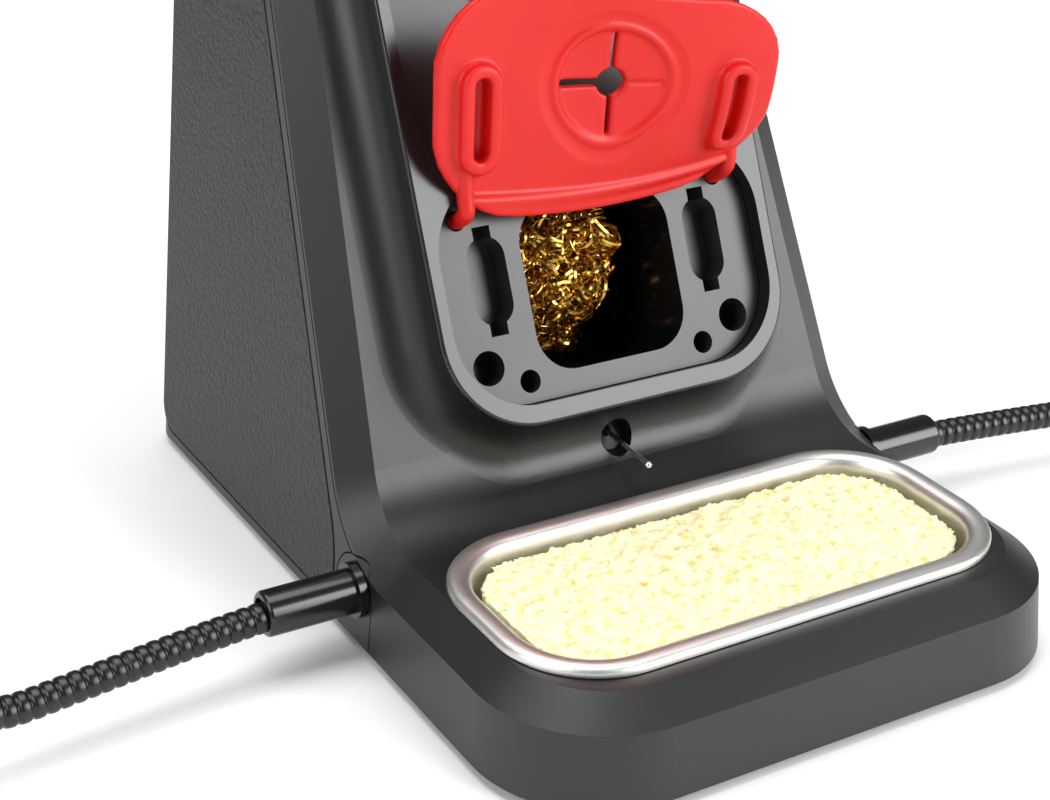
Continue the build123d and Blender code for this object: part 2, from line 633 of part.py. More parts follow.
with BuildPart() as arm_filler:
    add(outer.part)
    add(inner, mode=Mode.SUBTRACT)
    add(arch(ARCH_HALF_W, ARCH_TOP, ARCH_X, 70), mode=Mode.INTERSECT)
    add(on_arm_axis(SOCKET_R + 0.1, 50, 61.7), mode=Mode.SUBTRACT)
    add(on_arm_axis(SOCKET_R + 1.1, 61.7, 70), mode=Mode.SUBTRACT)
export_pair(arm_filler.part, "arm_filler")

# Goosenecks: four lengths on each arm. Each turns on a ball at its bending point, which sits in a
# cup in the end of the length before it.
BALL_R, BALL_STEM_R, CUP_R = 2.2, 1.3, 2.5
for number, (start, end) in enumerate(zip(ARM_POINTS, ARM_POINTS[1:]), 1):
    run = Vector(*end) - Vector(*start)
    first = Vector(*start) + run.normalized() * NECK_END
    last = Vector(*end) - run.normalized() * NECK_END
    with BuildPart() as neck:
        with BuildSketch(Plane(origin=first, z_dir=run)):
            Circle(NECK_R)
        extrude(amount=(last - first).length)
        with Locations(Plane(origin=first, z_dir=run), Plane(origin=last, z_dir=run)):
            Sphere(NECK_R)
        with BuildSketch(Plane(origin=start, z_dir=run)):
            Circle(BALL_STEM_R)
        extrude(amount=NECK_END)
        with Locations(Plane(origin=start, z_dir=run)):
            Sphere(BALL_R)
        if end != ARM_POINTS[-1]:
            with Locations(Plane(origin=end, z_dir=run)):
                Sphere(CUP_R, mode=Mode.SUBTRACT)
    export_pair(neck.part, f"neck_{number}")

# Spring clips: local X runs along the clip, local Y is the way that the jaw opens
CLIP_RUN = Vector(*ARM_POINTS[-1]) - Vector(*ARM_POINTS[-2])
CLIP_SIDE = Vector(1, 0, 0) - CLIP_RUN.normalized() * Vector(1, 0, 0).dot(CLIP_RUN.normalized())
CLIP_ORIGIN = Vector(*ARM_POINTS[-1])
CLIP = Plane(origin=CLIP_ORIGIN, x_dir=CLIP_RUN, z_dir=CLIP_SIDE)
CLIP_PIVOT = (20.0, 2.4)
PIVOT_R = 0.9


def clip_bar(points, z_low, z_high):
    with BuildPart() as bar:
        with BuildSketch(CLIP.offset(z_low)):
            with BuildLine():
                Polyline(*points, close=True)
            make_face()
        extrude(amount=z_high - z_low)
    return bar.part


def teeth(x_low, x_high, y_root, y_tip, count):
    """Zigzag outline of a jaw's teeth."""
    pitch = (x_high - x_low) / count
    return [(x_low + pitch * (step + part), y_tip if part else y_root)
            for step in range(count) for part in (0, 0.5)]


def pivot_bar(radius, z_low, z_high):
    with BuildPart() as bar:
        with BuildSketch(CLIP.offset(z_low)):
            with Locations(CLIP_PIVOT):
                Circle(radius)
        extrude(amount=z_high - z_low)
    return bar.part


with BuildPart() as clip_base:
    add(clip_bar([(6, -3.0), (20, -4.4), (34, -3.4), (46, -0.9), (46, -0.2)]
                 + teeth(28, 45, -0.8, -0.1, 8)[::-1] + [(26, -2.4), (6, -1.6)], -2.6, 2.6))
    for low, high in ((-3.8, -3.1), (3.1, 3.8)):
        add(clip_bar([(13, -3.6), (27, -3.6), (24, 4), (20, 5), (16, 4)], low, high))
    add(clip_bar([(14, -4.2), (26, -4.2), (26, -2.8), (14, -2.8)], -3.8, 3.8))
    add(pivot_bar(PIVOT_R + 0.02, -5, 5), mode=Mode.SUBTRACT)
    with BuildSketch(Plane(origin=CLIP_ORIGIN - CLIP_RUN.normalized() * 8, z_dir=CLIP_RUN)):
        Circle(NECK_R + 0.8)
    extrude(amount=18)
    with BuildSketch(Plane(origin=CLIP_ORIGIN - CLIP_RUN.normalized() * 9, z_dir=CLIP_RUN)):
        Circle(NECK_R + 0.05)
    extrude(amount=9, mode=Mode.SUBTRACT)
    add(clip_bar([(0.5, -1.0), (14, -1.0), (14, 5), (0.5, 5)], -5, 5), mode=Mode.SUBTRACT)
export_pair(clip_base.part, "clip_base")

with BuildPart() as clip_jaw:
    add(clip_bar([(3, 7.8), (17, 4.6), (26, 4.4), (46, 1.2), (46, 0.4)]
                 + teeth(28, 45, 0.9, 0.2, 8)[::-1] + [(26, 1.0), (16, 1.0), (14, 3.8), (3, 6.6)], -1.8, 1.8))
    add(pivot_bar(PIVOT_R + 0.06, -5, 5), mode=Mode.SUBTRACT)
export_pair(clip_jaw.part, "clip_jaw")

export_pair(pivot_bar(PIVOT_R, -4.2, 4.2), "clip_pin")

with BuildPart() as clip_spring:
    for low, high in ((-2.9, -2.0), (2.0, 2.9)):
        add(pivot_bar(2.0, low, high))
    add(pivot_bar(PIVOT_R + 0.1, -5, 5), mode=Mode.SUBTRACT)
export_pair(clip_spring.part, "clip_spring")
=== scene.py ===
import bmesh
import bpy
from math import cos, exp, pi, radians, sin
from mathutils import Matrix, Vector
from random import Random


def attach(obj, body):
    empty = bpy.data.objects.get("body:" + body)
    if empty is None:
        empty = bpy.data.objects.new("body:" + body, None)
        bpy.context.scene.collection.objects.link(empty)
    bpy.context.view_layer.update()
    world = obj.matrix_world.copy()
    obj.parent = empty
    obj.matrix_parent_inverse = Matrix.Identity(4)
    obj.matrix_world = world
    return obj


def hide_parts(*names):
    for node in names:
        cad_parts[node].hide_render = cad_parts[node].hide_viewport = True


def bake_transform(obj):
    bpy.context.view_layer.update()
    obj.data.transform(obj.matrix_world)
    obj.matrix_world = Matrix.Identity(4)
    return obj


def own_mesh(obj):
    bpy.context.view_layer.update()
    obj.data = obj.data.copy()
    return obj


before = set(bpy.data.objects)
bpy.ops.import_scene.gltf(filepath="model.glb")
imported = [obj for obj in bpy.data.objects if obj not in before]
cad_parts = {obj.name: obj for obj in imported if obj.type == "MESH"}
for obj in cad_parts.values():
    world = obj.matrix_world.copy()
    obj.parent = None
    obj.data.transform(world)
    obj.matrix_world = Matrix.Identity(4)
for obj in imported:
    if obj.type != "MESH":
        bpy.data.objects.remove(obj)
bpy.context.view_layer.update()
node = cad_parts
MM = 0.001


# ---------------------------------------------------------------------------------------------
# The view: a short telephoto from the front left, a little above the stand.
# ---------------------------------------------------------------------------------------------
CAMERA_PLACE, CAMERA_AIM = (-204.0, -311.2, 210.9), (21.1, 58.05, 2.0)
LENS, SENSOR_W = 67.59, 36
ROLL = 0.03             # radians
bpy.ops.object.camera_add(location=[c * MM for c in CAMERA_PLACE])
camera = bpy.context.object
aim = Vector(CAMERA_AIM) * MM - camera.location
turn = aim.to_track_quat("-Z", "Y").to_matrix() @ Matrix.Rotation(ROLL, 3, "Z")
camera.rotation_euler = turn.to_euler()
camera.data.lens = LENS
camera.data.sensor_width = SENSOR_W
camera.data.clip_start = 0.01
bpy.context.scene.camera = camera


# ---------------------------------------------------------------------------------------------
# Front and rear housing: two injection mouldings in charcoal ABS with a fine satin surface, screwed
# to the base plate from below. The fillers round the arm sockets match them.
# ---------------------------------------------------------------------------------------------
def linear(hex_colour):
    """sRGB hex to the linear colour that a shader takes."""
    parts = [int(hex_colour[i:i + 2], 16) / 255 for i in (1, 3, 5)]
    return [p / 12.92 if p <= 0.04045 else ((p + 0.055) / 1.055) ** 2.4 for p in parts] + [1]


def add_node(material, kind, settings=None, **links):
    """Adds one shader node, with its settings and sockets; a tuple (node, output) links a socket."""
    made = material.node_tree.nodes.new(kind)
    for name, value in (settings or {}).items():
        setattr(made, name, value)
    for name, value in links.items():
        socket = made.inputs[name.replace("_", " ")]
        if isinstance(value, tuple) and isinstance(value[0], bpy.types.Node):
            material.node_tree.links.new(value[0].outputs[value[1]], socket)
        else:
            socket.default_value = value
    return made


def new_material(name, roughness, metallic=0.0, ior=None, colour="#808080"):
    """A named material with its Principled shader's constants set."""
    material = bpy.data.materials.new(name)
    material.use_nodes = True
    shader = material.node_tree.nodes["Principled BSDF"]
    shader.inputs["Base Color"].default_value = linear(colour)
    shader.inputs["Roughness"].default_value = roughness
    shader.inputs["Metallic"].default_value = metallic
    if ior:
        shader.inputs["IOR"].default_value = ior
    return material, shader


def link(material, source, output, shader, socket):
    material.node_tree.links.new(source.outputs[output], shader.inputs[socket])


DRIFT = 40              # millimetres from one slow change of tone to the next


def moulded_plastic(name, dark, light, roughness, grain_mm, bump_mm, ior=1.54):
    """Moulded plastic: a fine bump from the tool's surface and a slow drift of tone and gloss."""
    material, shader = new_material(name, roughness, ior=ior, colour=dark)
    place = add_node(material, "ShaderNodeTexCoord")
    drift = add_node(material, "ShaderNodeTexNoise", Vector=(place, "Object"), Scale=1 / (DRIFT * MM),
                     Detail=3.0)
    # the mix node's colour sockets are inputs 6 and 7 and output 2
    tone = add_node(material, "ShaderNodeMix", {"data_type": "RGBA"})
    tone.inputs[6].default_value = linear(dark)
    tone.inputs[7].default_value = linear(light)
    material.node_tree.links.new(drift.outputs["Fac"], tone.inputs[0])
    material.node_tree.links.new(tone.outputs[2], shader.inputs["Base Color"])
    gloss = add_node(material, "ShaderNodeMapRange", Value=(drift, "Fac"),
                     To_Min=roughness - 0.05, To_Max=roughness + 0.05)
    link(material, gloss, "Result", shader, "Roughness")
    grain = add_node(material, "ShaderNodeTexNoise", Vector=(place, "Object"), Scale=1 / (grain_mm * MM),
                     Detail=2.0)
    relief = add_node(material, "ShaderNodeBump", Height=(grain, "Fac"), Strength=0.5, Distance=bump_mm * MM)
    link(material, relief, "Normal", shader, "Normal")
    return material


def finish_node(name, material):
    """Gives a CAD node one material on all its faces."""
    mesh = node[name].data
    mesh.materials.clear()
    mesh.materials.append(material)
    for face in mesh.polygons:
        face.material_index = 0


# Satin ABS: dark, with a soft broad highlight; grain of about 0.35 mm from the eroded mould
SATIN_ABS = moulded_plastic("satin_moulded_abs", "#111112", "#181818", 0.40, 0.35, 0.008)
for name in ("front_housing", "rear_housing", "left_arm_filler", "right_arm_filler"):
    finish_node(name, SATIN_ABS)


# ---------------------------------------------------------------------------------------------
# Side panels: separate ABS mouldings let into the side walls. Their tool was etched with a pebbled
# leather grain, which scatters light and looks greyer than the satin parts.
# ---------------------------------------------------------------------------------------------
GRAIN_ABS, shader = new_material("leather_grain_abs", 0.55, ior=1.54, colour="#262626")
place = add_node(GRAIN_ABS, "ShaderNodeTexCoord")
# pebbles 1.1 mm across, pushed out of line by a slower wander, with fine pits over them
PEBBLE, WANDER, PIT = 1.1, 1.6, 0.28
PUSH, GRAIN_DEPTH = 0.6, 0.34
wander = add_node(GRAIN_ABS, "ShaderNodeTexNoise", Vector=(place, "Object"), Scale=1 / (WANDER * MM),
                  Detail=2.0)
nudge = add_node(GRAIN_ABS, "ShaderNodeVectorMath", {"operation": "SCALE"}, Scale=PUSH * MM)
GRAIN_ABS.node_tree.links.new(wander.outputs["Color"], nudge.inputs[0])
spread = add_node(GRAIN_ABS, "ShaderNodeVectorMath", {"operation": "ADD"})
GRAIN_ABS.node_tree.links.new(place.outputs["Object"], spread.inputs[0])
GRAIN_ABS.node_tree.links.new(nudge.outputs["Vector"], spread.inputs[1])
pebbles = add_node(GRAIN_ABS, "ShaderNodeTexVoronoi", {"feature": "SMOOTH_F1"}, Vector=(spread, "Vector"),
                   Scale=1 / (PEBBLE * MM), Smoothness=0.25)
pits = add_node(GRAIN_ABS, "ShaderNodeTexNoise", Vector=(place, "Object"), Scale=1 / (PIT * MM), Detail=3.0)
height = add_node(GRAIN_ABS, "ShaderNodeMath", {"operation": "MULTIPLY_ADD"})
GRAIN_ABS.node_tree.links.new(pits.outputs["Fac"], height.inputs[0])
height.inputs[1].default_value = 0.5
GRAIN_ABS.node_tree.links.new(pebbles.outputs["Distance"], height.inputs[2])
relief = add_node(GRAIN_ABS, "ShaderNodeBump", {"invert": True}, Height=(height, "Value"), Strength=1.0,
                  Distance=GRAIN_DEPTH * MM)
link(GRAIN_ABS, relief, "Normal", shader, "Normal")
# painted shade: colour darker in the valleys between the pebbles and lighter on their tops
valley_shade = add_node(GRAIN_ABS, "ShaderNodeValToRGB", Fac=(pebbles, "Distance"))
valley_shade.color_ramp.elements[0].color = linear("#303030")
valley_shade.color_ramp.elements[1].color = linear("#141414")
link(GRAIN_ABS, valley_shade, "Color", shader, "Base Color")
for name in ("left_side_panel", "right_side_panel", "rear_cover"):
    finish_node(name, GRAIN_ABS)


# ---------------------------------------------------------------------------------------------
# Underside: a moulded base plate, a zinc-plated steel ballast plate on it, four rubber feet pushed
# into it and four plated pan-head screws.
# ---------------------------------------------------------------------------------------------
MATT_ABS = moulded_plastic("matt_moulded_abs", "#121212", "#171717", 0.58, 0.5, 0.012)
finish_node("base_plate", MATT_ABS)
finish_node("spool_brackets", MATT_ABS)
finish_node("wire_guide", MATT_ABS)
RUBBER = moulded_plastic("pressed_rubber", "#131313", "#1A1A1A", 0.78, 0.4, 0.02, ior=1.52)
finish_node("rubber_feet", RUBBER)

ZINC, shader = new_material("zinc_plated_steel", 0.34, metallic=1.0, colour="#B9BCC0")
place = add_node(ZINC, "ShaderNodeTexCoord")
# spangle patches about 3 mm across, which differ a little in tone and gloss
spangle = add_node(ZINC, "ShaderNodeTexVoronoi", Vector=(place, "Object"), Scale=1 / (3 * MM))
patch = add_node(ZINC, "ShaderNodeMapRange", Value=(spangle, "Distance"), To_Min=0.28, To_Max=0.42)
link(ZINC, patch, "Result", shader, "Roughness")
tint = add_node(ZINC, "ShaderNodeValToRGB", Fac=(spangle, "Distance"))
tint.color_ramp.elements[0].color = linear("#C4C7CB")
tint.color_ramp.elements[1].color = linear("#A8ABB0")
link(ZINC, tint, "Color", shader, "Base Color")
for name in ("ballast_plate", "base_screws", "spool_axle", "left_arm_nut", "right_arm_nut"):
    finish_node(name, ZINC)


# ---------------------------------------------------------------------------------------------
# Front plate: the raised rim round both dishes, and the tray in the lower dish with its pockets and
# tip holes. Both are ABS, polished more than the housing, so their edges catch the light.
# ---------------------------------------------------------------------------------------------
RIM_ABS = moulded_plastic("polished_rim_abs", "#131314", "#1A1A1A", 0.25, 0.6, 0.004)
finish_node("front_bezel", RIM_ABS)
TRAY_ABS = moulded_plastic("satin_tray_abs", "#222223", "#2A2A2B", 0.36, 0.3, 0.010)
finish_node("tip_tray", TRAY_ABS)
finish_node("holder_plate", TRAY_ABS)
GLOSS_ABS = moulded_plastic("gloss_moulded_abs", "#0B0B0C", "#101011", 0.12, 1.2, 0.003)
finish_node("wool_box", GLOSS_ABS)
finish_node("solder_spool", GLOSS_ABS)
# the walls in the mouth of the wool chamber take the gloss black material: glossier than the tray, and its
# darker colour there is painted shade in the recess
LEAN = radians(24.6)            # the front leans back by this much
FACE_Y, FACE_Z = -13.1, 53.6    # the point of the front plate that heights are taken from
MOUTH_HALF_W, MOUTH_LOW, MOUTH_HIGH, MOUTH_FRONT = 17.6, -6.5, 27.3, -3.95
tray_mesh = node["tip_tray"].data
tray_mesh.materials.append(GLOSS_ABS)
# painted shade: faces inside the chamber mouth, behind the front plate, are given the darker colour
for face in tray_mesh.polygons:
    x, y, z = face.center / MM
    height = (y - FACE_Y) * sin(LEAN) + (z - FACE_Z) * cos(LEAN)
    out = (z - FACE_Z) * sin(LEAN) - (y - FACE_Y) * cos(LEAN)
    if abs(x) < MOUTH_HALF_W and MOUTH_LOW < height < MOUTH_HIGH and out < MOUTH_FRONT:
        face.material_index = 1


# ---------------------------------------------------------------------------------------------
# Iron holder: a moulded phenolic ring that stands the heat, a spun steel funnel and a drawn steel
# tube behind it, all on the axis of the upper dish.
# ---------------------------------------------------------------------------------------------
PHENOLIC = moulded_plastic("moulded_phenolic", "#1D1512", "#2A1E19", 0.44, 0.8, 0.015, ior=1.6)
finish_node("holder_ring", PHENOLIC)


def brushed_steel(name, colour, roughness, stretch, line_mm):
    """Bright steel with fine brush lines drawn out along one direction."""
    material, steel = new_material(name, roughness, metallic=1.0, colour=colour)
    place = add_node(material, "ShaderNodeTexCoord")
    squeeze = add_node(material, "ShaderNodeMapping", Vector=(place, "Object"), Scale=stretch)
    lines = add_node(material, "ShaderNodeTexNoise", Vector=(squeeze, "Vector"), Scale=1 / (line_mm * MM),
                     Detail=4.0)
    shine = add_node(material, "ShaderNodeMapRange", Value=(lines, "Fac"),
                     To_Min=roughness - 0.08, To_Max=roughness + 0.10)
    link(material, shine, "Result", steel, "Roughness")
    relief = add_node(material, "ShaderNodeBump", Height=(lines, "Fac"), Strength=0.35, Distance=0.00002)
    link(material, relief, "Normal", steel, "Normal")
    return material


SPUN_STEEL = brushed_steel("spun_stainless_steel", "#C6C4C1", 0.27, (1, 1, 0.1), 0.5)
finish_node("iron_funnel", SPUN_STEEL)
finish_node("iron_tube", SPUN_STEEL)


# ---------------------------------------------------------------------------------------------
# Silicone cover: a soft red moulding that flips over the lower dish. It has two raised hollow
# bosses, a thin dished disc with a cross slit for the iron's tip, and a lip along its lower edge.
# ---------------------------------------------------------------------------------------------
COVER_HALF_W = 35.6
HINGE_Z = 81.42         # the straps bend at this height
COVER_FACE = -1.56      # the sheet's front face, before it bows
COVER_SKIN = 0.42       # voxel that the moulding is fused at
SHEET_LOW, SHEET_HIGH = 79.8, 122.2
DISH_R, DISH = 15.5, 1.6
SAG, LIP, DROOP, STRETCH = 4.2, 1.5, 0.15, 1.6
BOSS_X, BOSS_Z = {-1: -27.3, 1: 25.3}, {-1: 98.1, 1: 97.4}
DISC_Z = 103.0


def clear_selection():
    if bpy.context.object and bpy.context.object.mode != "OBJECT":
        bpy.ops.object.mode_set(mode="OBJECT")
    bpy.ops.object.select_all(action="DESELECT")


def apply_all(piece):
    """Applies the piece's modifiers in order, then its place, so that it stands at the origin."""
    clear_selection()
    bpy.context.view_layer.objects.active = piece
    piece.select_set(True)
    for modifier in list(piece.modifiers):
        bpy.ops.object.modifier_apply(modifier=modifier.name)
    bpy.ops.object.transform_apply(location=True, rotation=True, scale=True)
    return piece


def rounded_slab(name, centre, size, corner, segments=8):
    """A flat slab facing the front (along -Y) with rounded corners, closed."""
    clear_selection()
    bpy.ops.mesh.primitive_plane_add(size=1, location=[c * MM for c in centre], rotation=(pi / 2, 0, 0))
    slab = bpy.context.object
    slab.name = name
    slab.scale = (size[0] * MM, size[2] * MM, 1)
    bpy.ops.object.transform_apply(location=True, rotation=True, scale=True)
    bpy.ops.object.mode_set(mode="EDIT")
    bpy.ops.mesh.select_all(action="SELECT")
    bpy.ops.mesh.bevel(offset=corner * MM, segments=segments, affect="VERTICES")
    bpy.ops.mesh.select_all(action="SELECT")
    bpy.ops.mesh.extrude_region_move(TRANSFORM_OT_translate={"value": (0, size[1] * MM, 0)})
    bpy.ops.mesh.select_all(action="SELECT")
    bpy.ops.mesh.normals_make_consistent(inside=False)
    bpy.ops.object.mode_set(mode="OBJECT")
    return slab


def cut(piece, tool):
    """Takes the tool's shape out of the piece and removes the tool."""
    clear_selection()
    bpy.context.view_layer.objects.active = piece
    piece.select_set(True)
    hole = piece.modifiers.new("cut", "BOOLEAN")
    hole.operation, hole.object, hole.solver = "DIFFERENCE", tool, "EXACT"
    bpy.ops.object.modifier_apply(modifier=hole.name)
    bpy.data.objects.remove(tool)


def join_pieces(pieces, name):
    clear_selection()
    for piece in pieces:
        piece.select_set(True)
    bpy.context.view_layer.objects.active = pieces[0]
    bpy.ops.object.join()
    pieces[0].name = name
    return pieces[0]


def weld_and_smooth(piece, voxel_mm, passes):
    """Fuses overlapping closed forms into one skin with the soft edges of a moulding."""
    fuse = piece.modifiers.new("fuse", "REMESH")
    fuse.mode, fuse.voxel_size, fuse.use_smooth_shade = "VOXEL", voxel_mm * MM, True
    if passes:
        ease = piece.modifiers.new("ease", "SMOOTH")
        ease.factor, ease.iterations = 0.5, passes
    return apply_all(piece)


parts = [rounded_slab("cover_sheet", (0, COVER_FACE, (SHEET_LOW + SHEET_HIGH) / 2),
                      (2 * COVER_HALF_W, 2.0, SHEET_HIGH - SHEET_LOW), 15.5)]
for side in (-1, 1):
    parts.append(rounded_slab("boss", (BOSS_X[side], COVER_FACE - 2.6, BOSS_Z[side]),
                              (7.9, 3.0, 20.8), 3.9))
clear_selection()
bpy.ops.mesh.primitive_torus_add(location=(0, COVER_FACE * MM, DISC_Z * MM), rotation=(pi / 2, 0, 0),
                                 major_segments=64, minor_segments=12, major_radius=12.2 * MM,
                                 minor_radius=0.75 * MM)
parts.append(bpy.context.object)
cover = join_pieces(parts, "silicone_flap")
weld_and_smooth(cover, COVER_SKIN, 0)
for side in (-1, 1):
    cut(cover, rounded_slab("slot", (BOSS_X[side], COVER_FACE - 4, BOSS_Z[side]), (3.2, 5.3, 16),
                            1.55))
for middle, size in ((0, (22, 6, 0.9)), (0, (0.9, 6, 22)), (-5.6, (10.8, 6, 1.5))):
    cut(cover, rounded_slab("slit", (middle, -4, DISC_Z), size, 0.4, 3))
clear_selection()
bpy.ops.mesh.primitive_cylinder_add(vertices=40, radius=3 * MM, depth=12 * MM, rotation=(pi / 2, 0, 0),
                                    location=(0, 0, DISC_Z * MM))
cut(cover, bpy.context.object)
weld_and_smooth(cover, COVER_SKIN, 3)


def smooth_step(value, low, high):
    part = min(max((value - low) / (high - low), 0), 1)
    return part * part * (3 - 2 * part)


def bowed(x, y, z):
    """Where a point of the flat sheet goes once the soft cover hangs open and twists to its right."""
    across = smooth_step(x, -30, 34)
    rise = max(z - HINGE_Z, -4)
    lean = (1 - exp(-max(rise, 0) / 11)) * (1.2 + 8.8 * across)
    dish = DISH * max(0, 1 - ((x / DISH_R) ** 2 + ((z - DISC_Z) / DISH_R) ** 2)) ** 0.7
    sag = SAG * (1 - (x / COVER_HALF_W) ** 2) * (1 - smooth_step(z, 79, 96))
    lip = LIP * (1 - smooth_step(z, 83.0, 84.4)) * (1 - smooth_step(abs(x), 29, 34))
    droop = DROOP * max(rise, 0) * across
    stretch = STRETCH * smooth_step(-x, 8, 36)
    return x - stretch, y - 0.6 - lean + dish - lip, z - sag - droop


for vertex in cover.data.vertices:
    vertex.co = Vector(bowed(*(vertex.co / MM))) * MM

# Silicone rubber: a strong red, soft skin with light going a little way in
SILICONE, shader = new_material("red_silicone_rubber", 0.42, ior=1.42, colour="#C41210")
place = add_node(SILICONE, "ShaderNodeTexCoord")
bloom = add_node(SILICONE, "ShaderNodeTexNoise", Vector=(place, "Object"), Scale=1 / (9 * MM), Detail=4.0)
tone = add_node(SILICONE, "ShaderNodeValToRGB", Fac=(bloom, "Fac"))
tone.color_ramp.elements[0].color = linear("#C01110")
tone.color_ramp.elements[1].color = linear("#D01A16")
link(SILICONE, tone, "Color", shader, "Base Color")
skin = add_node(SILICONE, "ShaderNodeTexNoise", Vector=(place, "Object"), Scale=1 / (0.4 * MM),
                Detail=2.0)
relief = add_node(SILICONE, "ShaderNodeBump", Height=(skin, "Fac"), Strength=0.4, Distance=0.00001)
link(SILICONE, relief, "Normal", shader, "Normal")
shader.inputs["Subsurface Weight"].default_value = 0.06
shader.inputs["Subsurface Radius"].default_value = (0.003, 0.0006, 0.0004)
shader.inputs["Subsurface Scale"].default_value = 0.6
cover.data.materials.clear()
cover.data.materials.append(SILICONE)
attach(cover, "cover")
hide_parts("silicone_cover")
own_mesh(cover)


# ---------------------------------------------------------------------------------------------
# Cover straps: two round silicone tails moulded with the cover. Each goes down through a hole at
# the top of the lower dish and is held by a bulb behind it.
# ---------------------------------------------------------------------------------------------
def on_face(t, n):
    """Y and Z in millimetres at height t along the leaning front and n in front of the plate."""
    return FACE_Y + t * sin(LEAN) - n * cos(LEAN), FACE_Z + t * cos(LEAN) + n * sin(LEAN)


def swept_tube(name, points, radius, sides=4):
    """A round closed tube along a smooth curve through the points, in millimetres."""
    clear_selection()
    bpy.ops.curve.primitive_nurbs_path_add()
    path = bpy.context.object
    path.name = name
    path.data.splines.clear()
    line = path.data.splines.new("NURBS")
    line.points.add(len(points) - 1)
    for spot, place in zip(line.points, points):
        spot.co = [c * MM for c in place] + [1]
    line.order_u, line.use_endpoint_u, line.resolution_u = 3, True, 8
    path.data.dimensions, path.data.bevel_depth, path.data.bevel_resolution = "3D", radius * MM, sides
    path.data.use_fill_caps = True
    path.select_set(True)
    bpy.ops.object.convert(target="MESH")
    tube = bpy.context.object
    bpy.ops.object.mode_set(mode="EDIT")
    bpy.ops.mesh.select_all(action="SELECT")
    bpy.ops.mesh.remove_doubles(threshold=0.00001)
    bpy.ops.mesh.normals_make_consistent(inside=False)
    bpy.ops.object.mode_set(mode="OBJECT")
    bpy.ops.object.shade_smooth()
    return apply_all(tube)


STRAP_X, STRAP_T, STRAP_R = 30.3, 26.5, 1.7     # across, height of the hole up the front, radius
for side, name in ((-1, "left_strap"), (1, "right_strap")):
    x = side * STRAP_X
    y_out = -1.9 if side < 0 else -3.4
    strap = swept_tube(name, [(x, *on_face(STRAP_T, -17)), (x, *on_face(STRAP_T, -9)),
                              (x, *on_face(STRAP_T, -2)), (x, *on_face(27.4, 1.6)), (x, y_out - 0.4, 81.6),
                              (x, y_out, 84), (x, y_out + 0.2, 88)], STRAP_R)
    bulb_y, bulb_z = on_face(STRAP_T, -16.3)
    clear_selection()
    bpy.ops.mesh.primitive_uv_sphere_add(segments=24, ring_count=14, radius=3.1 * MM,
                                         location=(x * MM, bulb_y * MM, bulb_z * MM))
    strap = join_pieces([strap, bpy.context.object], name)
    weld_and_smooth(strap, 0.3, 2)
    strap.data.materials.clear()
    strap.data.materials.append(SILICONE)
    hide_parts("cover_straps")
    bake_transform(strap)


# ---------------------------------------------------------------------------------------------
# Brass wool: a loose ball of curled turnings pushed into its chamber. Each turning is a narrow
# bright ribbon that curls; the dark between them is painted shade, a dark core set behind the turnings.
# ---------------------------------------------------------------------------------------------
dice = Random(7)
OUT_FACE = Vector((0, -cos(LEAN), sin(LEAN)))
# the room that the ball keeps to in its chamber: across, up the front, and in front of the plate
WOOL_X, WOOL_T, WOOL_N = (-16.2, 9.4), (-5.0, 25.8), (-45.6, -10.3)
WOOL_FRONT, WOOL_DEPTH = -12.5, 24


def in_chamber(x, t, n):
    return Vector((x, *on_face(t, n))) * MM


def held(value, limits):
    return min(max(value, limits[0]), limits[1])


clear_selection()
bpy.ops.curve.primitive_nurbs_path_add()
turnings = bpy.context.object
turnings.name = "brass_turnings"
turnings.data.splines.clear()
turnings.data.dimensions = "3D"
TURNINGS = 700
for _ in range(TURNINGS):
    depth = WOOL_FRONT - WOOL_DEPTH * dice.random() ** 2.2
    across, along = dice.uniform(-14.0, 8.0), dice.uniform(-2.4, 24.2)
    # the ball's surface dips towards its edges
    depth -= 6.0 * max(0, (across - 1.5) / 5) * (1 - smooth_step(along, 4, 18))
    depth -= 15 * (1 - smooth_step(along, -1, 9))
    axis = Vector((dice.gauss(0, 1), dice.gauss(0, 1), dice.gauss(0, 1))).normalized()
    one = axis.orthogonal().normalized()
    two = axis.cross(one)
    radius = dice.uniform(1.5, 3.0)
    turns = dice.uniform(1.1, 2.6)
    pitch = dice.uniform(0.8, 2.0)
    phase = dice.uniform(0, 2 * pi)
    count = int(turns * 13)
    ribbon = turnings.data.splines.new("POLY")
    ribbon.points.add(count)
    for step in range(count + 1):
        angle = phase + turns * 2 * pi * step / count
        reach = radius * (0.75 + 0.5 * step / count)
        drawn_out = pitch * turns * (step / count - 0.5)
        local = one * (reach * cos(angle)) + two * (reach * sin(angle)) + axis * drawn_out
        x, t = held(across + local.x, WOOL_X), held(along + local.y, WOOL_T)
        n = held(depth + local.z, WOOL_N)
        ribbon.points[step].co = (*in_chamber(x, t, n), 1)
turnings.data.extrude = 0.26 * MM
bpy.context.view_layer.objects.active = turnings
turnings.select_set(True)
bpy.ops.object.convert(target="MESH")
turnings = bpy.context.object
foil = turnings.modifiers.new("foil", "SOLIDIFY")
foil.thickness, foil.offset = 0.10 * MM, 0
apply_all(turnings)
bpy.ops.object.shade_smooth_by_angle(angle=radians(40))

# painted shade: a dark rounded core inside the ball stands for the shade between the turnings
core = rounded_slab("wool_shade_core", (-4.4, 0, 0), (19, 20, 25), 8, 8)
core_place = Matrix.Translation(in_chamber(0, 10.4, -36)) @ Matrix.Rotation(-LEAN, 4, "X")
core.data.transform(core_place)
weld_and_smooth(core, 0.9, 4)
core.data.transform(Matrix.Translation(OUT_FACE * 2 * MM))

